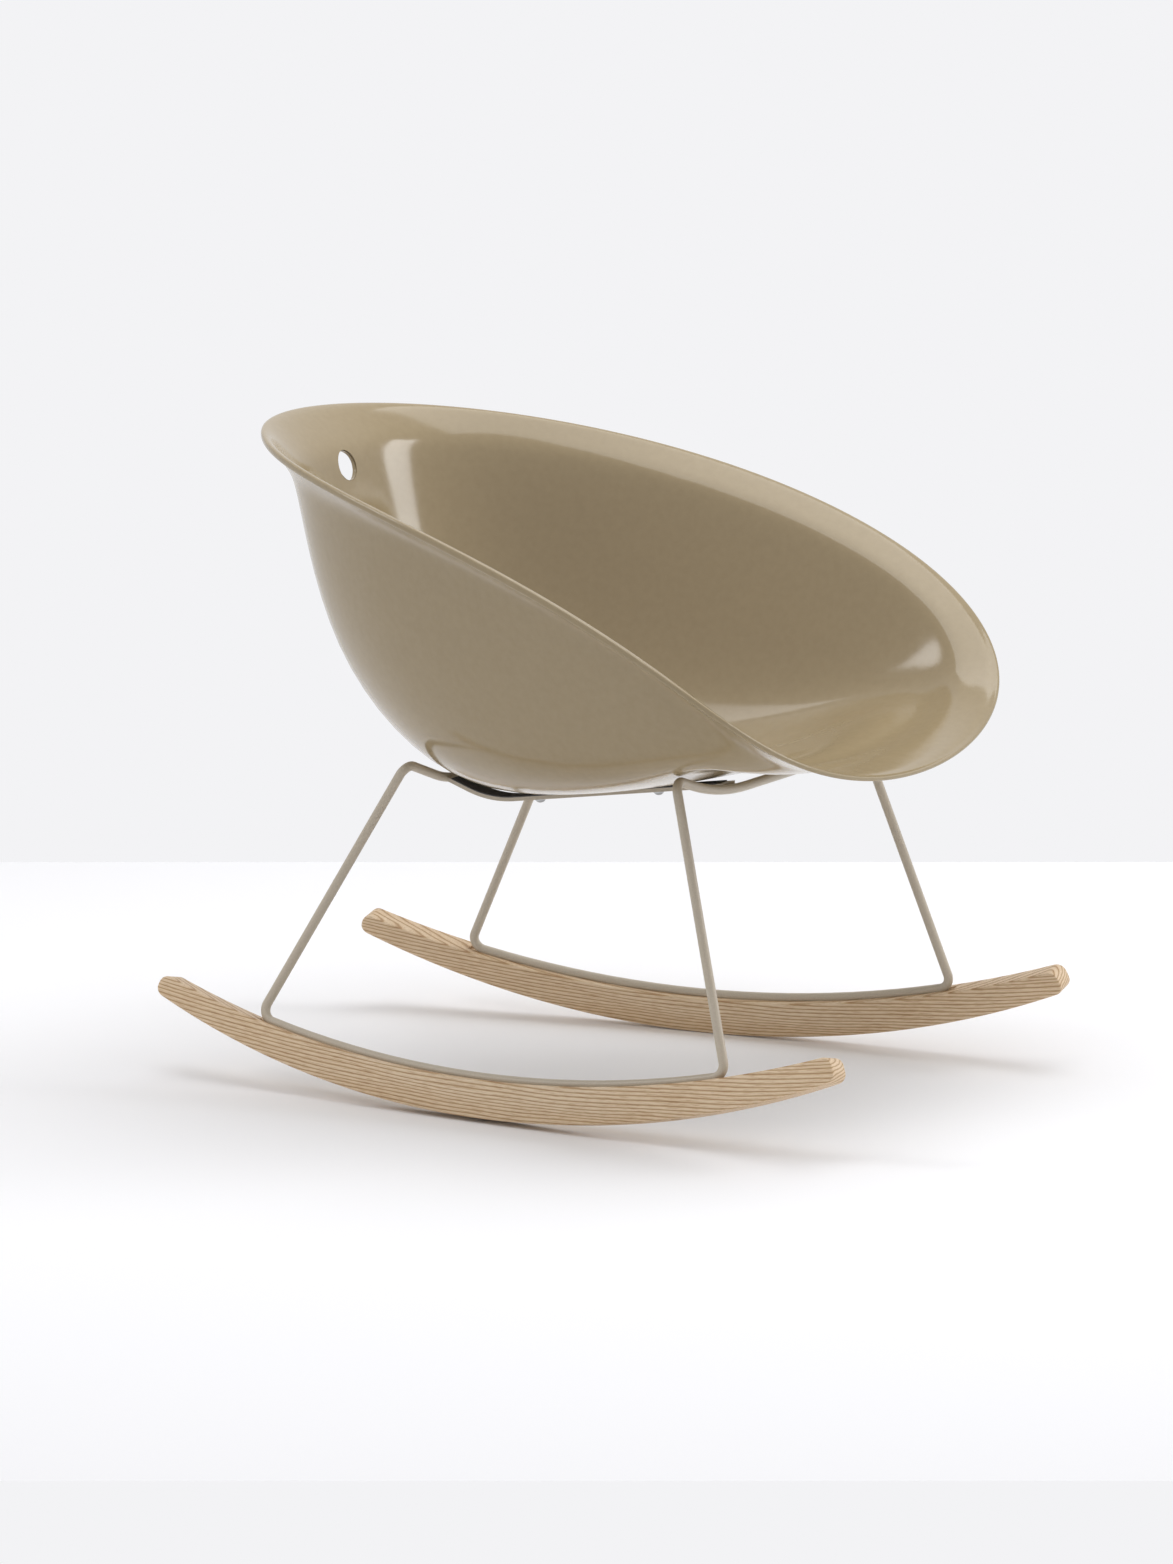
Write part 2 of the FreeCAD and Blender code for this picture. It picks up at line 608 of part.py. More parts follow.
def make_runner(word, side):
    name = "runner_" + word
    middle_plane = Vector(0, 0, -size("runner_width") / 2)
    rear_reach = degrees(asin(size("runner_rear") / size("rocking_radius")))
    slice_turn = Rotation(Vector(0, 0, 1), -90 - rear_reach)
    board = add(
        "Part::Cylinder", name + "_board",
        Placement(middle_plane + Vector(0, size("rocking_radius"), 0), slice_turn),
        Radius="sizes.rocking_radius",
        Height="sizes.runner_width",
        Angle="asin(sizes.runner_rear / sizes.rocking_radius) + asin(sizes.runner_front / sizes.rocking_radius)",
    )
    above = add(
        "Part::Cylinder", name + "_above", Placement(middle_plane * 2 + run_centre(), Rotation()),
        Radius="sizes.top_radius",
        Height="2 * sizes.runner_width",
    )
    blank = cut(name + "_blank", board, [above])
    doc.recompute()
    ends = []
    for i, edge in enumerate(blank.Shape.Edges, 1):
        if edge.Curve.TypeId == "Part::GeomLine" and abs(edge.tangentAt(edge.FirstParameter).z) > 0.99:
            ends.append((i, size("runner_round"), size("runner_round")))
    rounded = add("Part::Fillet", name + "_rounded")
    rounded.Base = blank
    rounded.Edges = ends

    rear_angle = run_angle(size("rear_foot")) - size("groove_overrun") / rod_run_radius()
    front_angle = run_angle(size("front_foot")) + size("groove_overrun") / rod_run_radius()
    groove = add(
        "Part::Torus", name + "_groove",
        Placement(run_centre(), Rotation(Vector(0, 0, 1), degrees(rear_angle) - 90)),
        Radius1="sizes.top_radius + sizes.groove_depth - sizes.rod_diameter / 2",
        Radius2="sizes.rod_diameter / 2 + sizes.groove_gap",
    )
    groove.Angle3 = degrees(front_angle - rear_angle)
    tools = [groove]
    for angle in runner_screw_angles().values():
        seat = on_run(angle, size("runner_screw_seat"))
        below = on_run(angle, size("runner_screw_seat") + size("runner_height"))
        tools.append(add(
            "Part::Cylinder", "screw_hole", seat,
            Radius="sizes.runner_screw_hole / 2",
            Height="sizes.runner_screw_seat",
        ))
        tools.append(add(
            "Part::Cylinder", "counterbore", below,
            Radius="sizes.counterbore_diameter / 2",
            Height="sizes.runner_height",
        ))
    subpart(cut(name + "_finished", rounded, tools), name, runner_frame(side))


# Fasteners

def make_ring(label, placement, outer, inner, height):
    tube = add("Part::Cylinder", label + "_outside", Radius=outer, Height=height)
    bore = add("Part::Cylinder", label + "_bore", Radius=inner, Height=height)
    subpart(cut(label + "_ring", tube, [bore]), label, placement)


def make_screw(label, placement, kind):
    """Button head screw: the shank rises from the origin and the head lies below it."""
    dome = "(sizes.%s_head_height - sizes.head_rim)" % kind
    ball_radius = "(%s ^ 2 + (sizes.%s_head / 2) ^ 2) / (2 * %s)" % (dome, kind, dome)
    plain_head = add(
        "Part::Cylinder", label + "_plain_head",
        Radius="sizes.%s_head / 2" % kind,
        Height="sizes.%s_head_height" % kind,
    )
    plain_head.setExpression(".Placement.Base.z", "-sizes.%s_head_height" % kind)
    ball = add("Part::Sphere", label + "_ball", Radius=ball_radius)
    ball.setExpression(".Placement.Base.z", "%s - sizes.%s_head_height" % (ball_radius, kind))
    head = add("Part::MultiCommon", label + "_head")
    head.Shapes = [plain_head, ball]
    shank = add(
        "Part::Cylinder", label + "_shank",
        Radius="sizes.%s_thread / 2" % kind,
        Height="sizes.%s_length" % kind,
    )
    screw = add("Part::MultiFuse", label + "_solid")
    screw.Shapes = [head, shank]
    socket = add(
        "Part::Prism", label + "_socket",
        Circumradius="sizes.%s_socket / sqrt(3)" % kind,
        Height="sizes.socket_depth",
    )
    socket.setExpression(".Placement.Base.z", "-sizes.%s_head_height" % kind)
    subpart(cut(label + "_screw", screw, [socket]), label, placement)


def make_shell_fasteners(word, side):
    for end in ("front", "rear"):
        where = end + "_" + word
        y = size("shell_screw_" + end)
        under_washer = on_seat(side, y, -size("shell_washer_thickness"))
        make_screw("shell_screw_" + where, under_washer, "shell_screw")
        make_ring(
            "shell_washer_" + where, under_washer,
            "sizes.shell_washer_diameter / 2",
            "sizes.shell_screw_hole / 2",
            "sizes.shell_washer_thickness",
        )
        make_ring(
            "shell_insert_" + where, on_seat(side, y, size("rail_thickness")),
            "sizes.insert_diameter / 2",
            "sizes.shell_screw_thread / 2 + sizes.thread_gap",
            "sizes.insert_length",
        )


def make_runner_fasteners(word, side):
    for end, angle in runner_screw_angles().items():
        where = end + "_" + word
        drop = size("runner_screw_seat") + size("runner_washer_thickness")
        under_washer = runner_frame(side) * on_run(angle, drop)
        make_screw("runner_screw_" + where, under_washer, "runner_screw")
        make_ring(
            "runner_washer_" + where, under_washer,
            "sizes.runner_washer_diameter / 2",
            "sizes.runner_screw_hole / 2",
            "sizes.runner_washer_thickness",
        )


make_shell()
for word, side in SIDES.items():
    make_frame_rod(word, side)
    make_rail(word, side)
    make_pad(word, side)
    make_runner(word, side)
    make_shell_fasteners(word, side)
    make_runner_fasteners(word, side)
doc.recompute()

for item in doc.Objects:
    if "Invalid" in item.State or "Error" in item.State:
        raise RuntimeError("failed: " + item.Name)
for item in subparts:
    if item.Shape.isNull() or not item.Shape.isValid():
        raise RuntimeError("bad shape: " + item.Label)

os.makedirs("parts", exist_ok=True)
for item in subparts:
    item.Shape.exportStep("parts/" + item.Label + ".step")
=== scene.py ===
from math import asin, atan, cos, degrees, hypot, pi, radians, sin, sqrt, tan

import bmesh
import bpy
import numpy as np
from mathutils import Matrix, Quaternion, Vector


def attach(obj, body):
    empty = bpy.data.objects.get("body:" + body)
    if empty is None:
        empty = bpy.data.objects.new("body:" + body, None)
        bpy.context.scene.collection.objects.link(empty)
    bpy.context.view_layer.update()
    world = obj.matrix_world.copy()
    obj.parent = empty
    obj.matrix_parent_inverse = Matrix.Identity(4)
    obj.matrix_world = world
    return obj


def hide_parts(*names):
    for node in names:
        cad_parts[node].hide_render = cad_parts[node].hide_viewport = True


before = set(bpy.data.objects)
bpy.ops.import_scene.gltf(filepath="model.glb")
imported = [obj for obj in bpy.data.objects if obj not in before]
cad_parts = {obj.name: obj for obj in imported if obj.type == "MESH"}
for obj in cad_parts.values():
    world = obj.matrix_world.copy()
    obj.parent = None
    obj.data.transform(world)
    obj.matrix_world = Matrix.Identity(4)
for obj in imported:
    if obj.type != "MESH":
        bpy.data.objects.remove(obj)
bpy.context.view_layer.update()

MM = 0.001
SHORTEST_EDGE = 1e-7
UP = np.array([0.0, 0.0, 1.0])

# Sizes of the chair in millimetres and degrees, in the frame before it tips forward to balance
LIP_HALF_WIDTH = 355.0
LIP_SQUARE = 18.0
LIP_CENTRE = -85.0
LIP_HALF_DEPTH = 375.0
LIP_EGG = 73.0
LIP_BLUNT = 4.0
LIP_HEIGHT = 543.8
LIP_TILT = 164.0
LIP_SAG = 15.0
SHELL_WALL = 5.5
HAND_HOLE_DIAMETER = 33.0
HAND_HOLE = np.array([0.0, 300.7, 636.7])
HAND_HOLE_TILT = 22.0
SEAT_PITCH = 8.4
FLOOR_HALF_WIDTH = 114.0
FLOOR_REAR = 42.0
FLOOR_FRONT = -190.0
ROD_DIAMETER = 10.0
FRONT_ROD_Y = -211.4
FRONT_ROD_Z = 339.6
FRONT_SADDLE_X = 108.0
FRONT_SADDLE_BEND = 390.0
FRONT_CORNER_X = 198.0
FRONT_CORNER_Z = 368.8
RAIL_CENTRE = 75.0
RAIL_THICKNESS = 4.0
RAIL_WELD_GAP = 0.05
RAIL_FRONT_RISE = 2.3
SHELL_SCREWS = [-123.0, 20.0]
BOSS_DIAMETER = 16.0
BOSS_HEIGHT = 3.5
BOSS_CHAMFER = 0.6
INSERT_HOLE_DIAMETER = 8.3
INSERT_HOLE_DEPTH = 7.2
RUNNER_SPREAD = 250.0
RUNNER_TOE = 3.7
RUNNER_LEAN = 12.2
RUNNER_WIDTH = 26.0
RUNNER_HEIGHT = 40.0
ROCKING_RADIUS = 1087.0
TOP_RADIUS = 1293.0
TOP_SHIFT = -9.0
RUNNER_REAR = 416.0
RUNNER_FRONT = 437.0
RUNNER_ROUND = 10.0
# The boards' long edges are sharp in the construction, and are rounded here by this much
RUNNER_EDGE = 2.0
GROOVE_DEPTH = 3.0
GROOVE_GAP = 0.15
GROOVE_OVERRUN = 17.0
REAR_FOOT = -267.0
FRONT_FOOT = 287.0
SCREW_SPACING = 232.0
SCREW_HOLE_DIAMETER = 5.4
SCREW_SEAT = 19.0
COUNTERBORE_DIAMETER = 12.0
REST_TURN = 0.565

STATIONS = [0.0, 25.0, 60.0, 90.0, 135.0, 180.0]
SECTION = {
    "lip_width": [54, 29, 31, 36, 42, 46],
    "lip_drop": [42, 36, 28, 24, 8, -4],
    "turn_share": [0.49, 0.48, 0.54, 0.60, 0.58, 0.52],
    "turn_rise": [38, 34, 22, 16, 28, 12],
    "wall_share": [0.60, 0.57, 0.58, 0.60, 0.50, 0.35],
    "wall_lean": [0.24, 0.20, 0.22, 0.30, 0.60, 1.20],
    "edge_height": [8, 8.5, 9, 9, 6, 4],
}
SLICES = 48
# The same all round: shares of the way across the lip or down its drop, and distances in mm
FLAT_SHARE = 0.16
FRONT_TUCK = 45.0
NECK_DEPTH = 22.0
NECK_DEPTH_FRONT = 2.0
NECK_WIDTH = 6.0
NECK_WIDTH_FRONT = 20.0
LIP_INNER = {"across": 0.62, "down": 0.42, "below": 6.0, "below_front": 0.0}
LIP_OUTER = {"across": 0.25, "down": 0.10, "below": 5.0, "below_front": 2.0}
EDGE_FOOT = 3.0
EDGE_OUTSIDE = 0.8
EDGE_SWELL = 0.8
EDGE_CROWN = 1.2
EDGE_INSIDE = {"across": 6.0, "above": 0.6, "down": 0.03}


# Small helpers

def unit(v):
    return v / np.linalg.norm(v)


def turn_x(angle):
    c, s = cos(radians(angle)), sin(radians(angle))
    return np.array([[1, 0, 0], [0, c, -s], [0, s, c]])


def runner_axes(side):
    """Base of a runner and its axes: forward along the board, up across it, and out of its face."""
    toe, lean = radians(RUNNER_TOE), radians(RUNNER_LEAN)
    forward = np.array([side * sin(toe), -cos(toe), 0.0])
    outward = np.array([side * cos(toe), sin(toe), 0.0])
    upward = UP * cos(lean) - outward * sin(lean)
    base = np.array([side * RUNNER_SPREAD, 0.0, RUNNER_WIDTH / 2 * sin(lean)])
    return base, forward, upward, np.cross(forward, upward)


def balance():
    """Turn and shift of the whole chair that balance it with its lowest point on the floor at Y = 0."""
    turn = turn_x(REST_TURN)
    base, forward, upward, inward = [turn @ v for v in runner_axes(1)]
    lowest = -ROCKING_RADIUS / hypot(forward[2], upward[2])
    contact = base + inward * (RUNNER_WIDTH / 2) + upward * ROCKING_RADIUS
    contact = contact + (forward * forward[2] + upward * upward[2]) * lowest
    return turn, np.array([0.0, -contact[1], -contact[2]])


REST_ROTATION, REST_SHIFT = balance()


def placed(points):
    """Points in millimetres before the chair tips, as metres in the row frame."""
    return (np.asarray(points) @ REST_ROTATION.T + REST_SHIFT) * MM


def new_piece(name, vertices, faces, smooth=True):
    mesh = bpy.data.meshes.new(name)
    mesh.from_pydata([tuple(v) for v in vertices], [], [tuple(f) for f in faces])
    mesh.validate()
    for polygon in mesh.polygons:
        polygon.use_smooth = smooth
    piece = bpy.data.objects.new(name, mesh)
    bpy.context.scene.collection.objects.link(piece)
    return piece


def apply_modifiers(piece):
    """Replaces the piece's mesh by its evaluated mesh and clears the modifiers."""
    graph = bpy.context.evaluated_depsgraph_get()
    mesh = bpy.data.meshes.new_from_object(piece.evaluated_get(graph))
    piece.modifiers.clear()
    piece.data = mesh


def combine(piece, tool, operation="DIFFERENCE"):
    """Cuts the tool's shape out of the piece, or joins it on, and removes the tool."""
    modifier = piece.modifiers.new("combine", "BOOLEAN")
    modifier.operation = operation
    modifier.solver = "EXACT"
    modifier.object = tool
    apply_modifiers(piece)
    bpy.data.objects.remove(tool)


def recalculate_normals(piece):
    work = bmesh.new()
    work.from_mesh(piece.data)
    bmesh.ops.recalc_face_normals(work, faces=work.faces)
    work.to_mesh(piece.data)
    work.free()


def crease(piece, degrees_apart):
    """Shades the piece smooth, with sharp edges where faces meet at more than the given angle."""
    work = bmesh.new()
    work.from_mesh(piece.data)
    bmesh.ops.dissolve_degenerate(work, edges=work.edges, dist=SHORTEST_EDGE)
    for face in work.faces:
        face.smooth = True
    for edge in work.edges:
        edge.smooth = len(edge.link_faces) == 2 and edge.calc_face_angle(0.0) < radians(degrees_apart)
    work.to_mesh(piece.data)
    work.free()


def grid_piece(name, rings):
    """Closed piece through rings of points in millimetres, with a flat face on the first and last ring."""
    count, steps, _ = rings.shape
    faces = []
    for b in range(count - 1):
        for a in range(steps):
            c = (a + 1) % steps
            faces.append((b * steps + a, (b + 1) * steps + a, (b + 1) * steps + c, b * steps + c))
    faces.append(tuple(range(steps)))
    faces.append(tuple((count - 1) * steps + a for a in reversed(range(steps))))
    piece = new_piece(name, placed(rings.reshape(-1, 3)), faces)
    recalculate_normals(piece)
    return piece


def turned_piece(name, start, axis, profile, sides=48):
    """Solid of revolution about an axis: the profile holds distances along the axis and radii."""
    axis = unit(np.asarray(axis, float))
    across = unit(np.cross(axis, [1.0, 0.0, 0.0] if abs(axis[0]) < 0.5 else [0.0, 0.0, 1.0]))
    third = np.cross(axis, across)
    turns = 2 * pi * np.arange(sides) / sides
    circle = np.outer(np.cos(turns), across) + np.outer(np.sin(turns), third)
    rings = [np.asarray(start) + axis * along + circle * radius for along, radius in profile]
    return grid_piece(name, np.array(rings))


# Shell: the same surface as the construction, drawn finely enough for a gloss finish

def spline_values(name, angles):
    """Cubic through the station values, level at both ends, at the given angles."""
    x = np.array(STATIONS)
    y = np.array(SECTION[name], float)
    gap = np.diff(x)
    count = len(x)
    matrix = np.zeros((count, count))
    right = np.zeros(count)
    matrix[0, 0] = matrix[-1, -1] = 1.0
    for i in range(1, count - 1):
        matrix[i, i - 1] = 1 / gap[i - 1]
        matrix[i, i] = 2 / gap[i - 1] + 2 / gap[i]
        matrix[i, i + 1] = 1 / gap[i]
        right[i] = 3 * ((y[i] - y[i - 1]) / gap[i - 1] ** 2 + (y[i + 1] - y[i]) / gap[i] ** 2)
    slope = np.linalg.solve(matrix, right)
    span = np.clip(np.searchsorted(x, angles, side="right") - 1, 0, count - 2)
    w = gap[span]
    t = (np.asarray(angles) - x[span]) / w
    return (
        y[span] * (2 * t**3 - 3 * t**2 + 1) + slope[span] * w * (t**3 - 2 * t**2 + t)
        + y[span + 1] * (3 * t**2 - 2 * t**3) + slope[span + 1] * w * (t**3 - t**2)
    )


def rail_underside(y):
    """Height of the straight part of a rail's underside."""
    slope = (FRONT_CORNER_Z - FRONT_ROD_Z) / (FRONT_CORNER_X - FRONT_SADDLE_X)
    past = max(0.0, RAIL_CENTRE - FRONT_SADDLE_X + FRONT_SADDLE_BEND * tan(atan(slope) / 2))
    rod_height = FRONT_ROD_Z + FRONT_SADDLE_BEND - sqrt(FRONT_SADDLE_BEND**2 - past**2)
    rail_front = FRONT_ROD_Y + ROD_DIAMETER / 2 + RAIL_WELD_GAP
    return rod_height + RAIL_FRONT_RISE - (y - rail_front) * tan(radians(SEAT_PITCH))


def floor_height(y):
    return rail_underside(y) + (RAIL_THICKNESS + BOSS_HEIGHT) / cos(radians(SEAT_PITCH))


def lip_point(turn):
    x = LIP_HALF_WIDTH * sin(turn) + LIP_SQUARE * sin(3 * turn)
    y = LIP_CENTRE + LIP_HALF_DEPTH * cos(turn) + LIP_EGG * cos(2 * turn) + LIP_BLUNT * cos(3 * turn)
    z = LIP_HEIGHT + LIP_TILT * cos(turn) - LIP_SAG * cos(2 * turn)
    return np.array([x, y, z])


def lip_outward(turn):
    x = LIP_HALF_WIDTH * cos(turn) + 3 * LIP_SQUARE * cos(3 * turn)
    y = LIP_HALF_DEPTH * sin(turn) + 2 * LIP_EGG * sin(2 * turn) + 3 * LIP_BLUNT * sin(3 * turn)
    return unit(np.array([y, x, 0.0]))


def outer_points(turn, at):
    """Control points of the shell's outer side, from the flat underside up to the rolled edge."""
    edge = lip_point(turn)
    out = lip_outward(turn)
    front = max(0.0, -cos(turn)) ** 2
    rim_y = (FLOOR_REAR + FLOOR_FRONT) / 2 + (FLOOR_REAR - FLOOR_FRONT) / 2 * cos(turn)
    rim = np.array([FLOOR_HALF_WIDTH * sin(turn), rim_y, floor_height(rim_y)])
    wall_top = edge - out * at["lip_width"] - UP * at["lip_drop"]
    level = np.array([wall_top[0] - rim[0], wall_top[1] - rim[1], 0.0])
    flat_end = rim + level * FLAT_SHARE
    flat_end[2] = floor_height(flat_end[1])
    turn_up = rim + level * at["turn_share"]
    turn_up[2] = floor_height(turn_up[1]) + at["turn_rise"]
    rise = max(0.0, wall_top[2] - rim[2])
    bulge = wall_top - UP * (rise * at["wall_share"]) - out * (rise * at["wall_share"] * at["wall_lean"])
    bulge = bulge - unit(level) * (FRONT_TUCK * front)
    neck_depth = NECK_DEPTH + (NECK_DEPTH_FRONT - NECK_DEPTH) * front
    neck_width = NECK_WIDTH + (NECK_WIDTH_FRONT - NECK_WIDTH) * front
    below_lip = wall_top - UP * neck_depth - out * neck_width
    lip = []
    for share in (LIP_INNER, LIP_OUTER):
        below = share["below"] + (share["below_front"] - share["below"]) * front
        down = share["down"] * at["lip_drop"] + below
        lip.append(edge - out * (share["across"] * at["lip_width"]) - UP * down)
    return [rim, flat_end, turn_up, bulge, below_lip, wall_top] + lip


def edge_points(turn, at):
    """Control points of the rolled edge, from its foot over the top to its inner side."""
    edge = lip_point(turn)
    out = lip_outward(turn)
    tall = at["edge_height"]
    foot = edge - out * EDGE_FOOT - UP * tall
    outside = edge + out * EDGE_SWELL - UP * (EDGE_OUTSIDE * tall)
    top = edge + out * EDGE_SWELL + UP * EDGE_CROWN
    inside = edge - out * EDGE_INSIDE["across"]
    inside = inside + UP * (EDGE_INSIDE["above"] - EDGE_INSIDE["down"] * at["lip_drop"])
    return [foot, outside, top, inside]


def shell_poles():
    """Control net of the shell: outer side, rolled edge and inner side, for every slice round the chair."""
    turns = [2 * pi * i / SLICES for i in range(SLICES)]
    angles = [min(degrees(t), 360 - degrees(t)) for t in turns]
    values = {name: spline_values(name, angles) for name in SECTION}
    outer = []
    edges = []
    for i, turn in enumerate(turns):
        at = {name: values[name][i] for name in SECTION}
        outer.append(outer_points(turn, at))
        edges.append(edge_points(turn, at))
    pitch = radians(SEAT_PITCH)
    rows = []
    for i in range(SLICES):
        inner = []
        for j, point in enumerate(outer[i]):
            if j < 2:
                normal = np.array([0.0, sin(pitch), cos(pitch)])
            else:
                above = edges[i][0] if j == len(outer[i]) - 1 else outer[i][j + 1]
                along = above - outer[i][j - 1]
                around = outer[(i + 1) % SLICES][j] - outer[i - 1][j]
                normal = unit(np.cross(around, along))
            inner.append(point + normal * SHELL_WALL)
        rows.append(outer[i] + edges[i] + inner[::-1])
    net = np.array(rows)
    return net - (np.roll(net, -1, 0) - 2 * net + np.roll(net, 1, 0)) / 6


def basis(knots, count, values):
    """Weights of each cubic control point at the given values."""
    weights = np.zeros((len(values), len(knots) - 1))
    for i, value in enumerate(values):
        span = min(max(np.searchsorted(knots, value, side="right") - 1, 3), len(knots) - 5)
        weights[i, span] = 1.0
    for degree in range(1, 4):
        raised = np.zeros_like(weights)
        for j in range(len(knots) - 1 - degree):
            left = knots[j + degree] - knots[j]
            right = knots[j + degree + 1] - knots[j + 1]
            if left > 0:
                raised[:, j] += (values - knots[j]) / left * weights[:, j]
            if right > 0:
                raised[:, j] += (knots[j + degree + 1] - values) / right * weights[:, j + 1]
        weights = raised
    return weights[:, :count]


# How finely the shell is drawn, and the angle in degrees past which its edges stay sharp
ROUND_STEPS = 240
SPAN_STEPS = 6
SHELL_CREASE = 35


def shell_surface():
    """Points of the shell's skin: one ring per row, from the flat underside over the lip and back."""
    net = shell_poles()
    spans = net.shape[1] - 3
    knots = np.concatenate([[0] * 3, np.arange(spans + 1), [spans] * 3]).astype(float)
    along = basis(knots, net.shape[1], np.linspace(0, spans, spans * SPAN_STEPS + 1))
    wrapped = np.concatenate([net, net[:3]])
    round_knots = np.arange(-3, SLICES + 4).astype(float)
    around = basis(round_knots, SLICES + 3, np.arange(ROUND_STEPS) * SLICES / ROUND_STEPS)
    return np.einsum("ai,ijk,bj->bak", around, wrapped, along)


# Hand hole, in mm: the depth that the slanting wall adds, its edges' rounding, and the plug's overrun
HOLE_SLANT = 0.3
HOLE_ROUND = 1.0
HOLE_STEPS = 6
HOLE_REACH = 12.0
HAND_HOLE_SIDES = 64
SCREW_HOLE_SIDES = 32
BORE_OVERRUN = 1.0


def hand_hole_plug():
    """Plug for the hand hole, flared at both ends so that its edges come out rounded."""
    tilt = radians(HAND_HOLE_TILT)
    axis = np.array([0.0, cos(tilt), -sin(tilt)])
    radius = HAND_HOLE_DIAMETER / 2
    wall = SHELL_WALL + HOLE_SLANT
    flare = []
    for step in range(HOLE_STEPS + 1):
        angle = pi / 2 * step / HOLE_STEPS
        flare.append((HOLE_ROUND * (1 - sin(angle)), HOLE_ROUND * (1 - cos(angle))))
    outside = [(wall - in_from_face, radius + wider) for in_from_face, wider in flare]
    inside = [(in_from_face, radius + wider) for in_from_face, wider in reversed(flare)]
    near = (-HOLE_REACH, radius + HOLE_ROUND)
    far = (wall + HOLE_REACH, radius + HOLE_ROUND)
    profile = [near] + inside + outside[::-1] + [far]
    return turned_piece("hand_hole", HAND_HOLE, axis, profile, HAND_HOLE_SIDES)


def seat_point(side, y, height):
    """Point over the middle of a rail, at a height above its underside, and the seat's normal there."""
    pitch = radians(SEAT_PITCH)
    normal = np.array([0.0, sin(pitch), cos(pitch)])
    return np.array([side * RAIL_CENTRE, y, rail_underside(y)]) + normal * height, normal


def build_shell():
    shell = grid_piece("shell_moulding", shell_surface())
    for side in (-1, 1):
        for y in SHELL_SCREWS:
            foot, normal = seat_point(side, y, RAIL_THICKNESS)
            radius = BOSS_DIAMETER / 2
            bore = INSERT_HOLE_DIAMETER / 2
            boss = [(0.0, radius - BOSS_CHAMFER), (BOSS_CHAMFER, radius)]
            boss.append((BOSS_HEIGHT + SHELL_WALL / 2, radius))
            hole = [(-BORE_OVERRUN, bore), (INSERT_HOLE_DEPTH, bore)]
            combine(shell, turned_piece("boss", foot, normal, boss), "UNION")
            combine(shell, turned_piece("insert_hole", foot, normal, hole, SCREW_HOLE_SIDES))
    combine(shell, hand_hole_plug())
    crease(shell, SHELL_CREASE)
    return shell


shell = build_shell()


# Runners: bent boards with rounded edges, a groove for the rod and counterbored screw holes

# How finely the boards are drawn; the lengths are in mm, and the two extra places are from a board's end
BOARD_STEP = 7.0
END_STEPS = 10
END_PLACES = [0.25, 1.2]
CORNER_STEPS = 4
LEAST_HALF_HEIGHT = 0.2
GROOVE_STEPS = 120
GROOVE_SIDES = 24
BOARD_CREASE = 40
# The grain follows about a third of the board's bend
GRAIN_BEND = 0.35


def run_centre():
    """Centre of the upper edge and of the rod's run: forward along the board, and up across it."""
    return np.array([TOP_SHIFT, TOP_RADIUS + RUNNER_HEIGHT])


def board_section(angle, from_end):
    """Rounded rectangle across the board: reach from the rocking centre, and distance through the board."""
    toward = np.array([sin(angle), -cos(angle)])
    offset = run_centre() - np.array([0.0, ROCKING_RADIUS])
    along = toward @ offset
    top = along + sqrt(along**2 - offset @ offset + TOP_RADIUS**2)
    nose = max(0.0, RUNNER_ROUND - from_end)
    edge = max(0.0, RUNNER_EDGE - from_end)
    inset = RUNNER_ROUND - sqrt(RUNNER_ROUND**2 - nose**2) + RUNNER_EDGE - sqrt(RUNNER_EDGE**2 - edge**2)
    slim = RUNNER_EDGE - sqrt(RUNNER_EDGE**2 - edge**2)
    middle = (ROCKING_RADIUS + top) / 2
    tall = (ROCKING_RADIUS - top) / 2 - inset - RUNNER_EDGE
    thick = RUNNER_WIDTH / 2 - slim - RUNNER_EDGE
    points = []
    for quarter, (up, out) in enumerate([(1, 1), (-1, 1), (-1, -1), (1, -1)]):
        for step in range(CORNER_STEPS + 1):
            turn = pi / 2 * (quarter + step / CORNER_STEPS)
            points.append((
                middle + up * max(tall, LEAST_HALF_HEIGHT) + RUNNER_EDGE * cos(turn),
                out * thick + RUNNER_EDGE * sin(turn),
            ))
    return points


def board_point(side, forward, up, through):
    base, ahead, upward, inward = runner_axes(side)
    return base + ahead * forward + upward * up + inward * through


def board_stations():
    """Angles along the board with the distance to the nearer end, closer together at the rounded ends."""
    rear = -asin(RUNNER_REAR / ROCKING_RADIUS)
    front = asin(RUNNER_FRONT / ROCKING_RADIUS)
    near_end = [RUNNER_ROUND * (1 - cos(pi / 2 * k / END_STEPS)) for k in range(END_STEPS)]
    near_end = sorted(near_end + END_PLACES)
    length = (front - rear) * ROCKING_RADIUS
    count = int((length - 2 * RUNNER_ROUND) / BOARD_STEP)
    middle = [RUNNER_ROUND + (length - 2 * RUNNER_ROUND) * k / count for k in range(count + 1)]
    places = near_end + middle + [length - e for e in reversed(near_end)]
    return [(rear + place / ROCKING_RADIUS, min(place, length - place)) for place in places]


def run_angle(forward):
    return asin((forward - TOP_SHIFT) / (TOP_RADIUS + GROOVE_DEPTH - ROD_DIAMETER / 2))


def on_run(side, angle, drop=0.0):
    """Point on the rod's middle line in the groove, or below it, and the direction to the run's centre."""
    reach = TOP_RADIUS + GROOVE_DEPTH - ROD_DIAMETER / 2 + drop
    forward, up = run_centre() + np.array([sin(angle), -cos(angle)]) * reach
    _, ahead, upward, _ = runner_axes(side)
    return board_point(side, forward, up, 0.0), upward * cos(angle) - ahead * sin(angle)


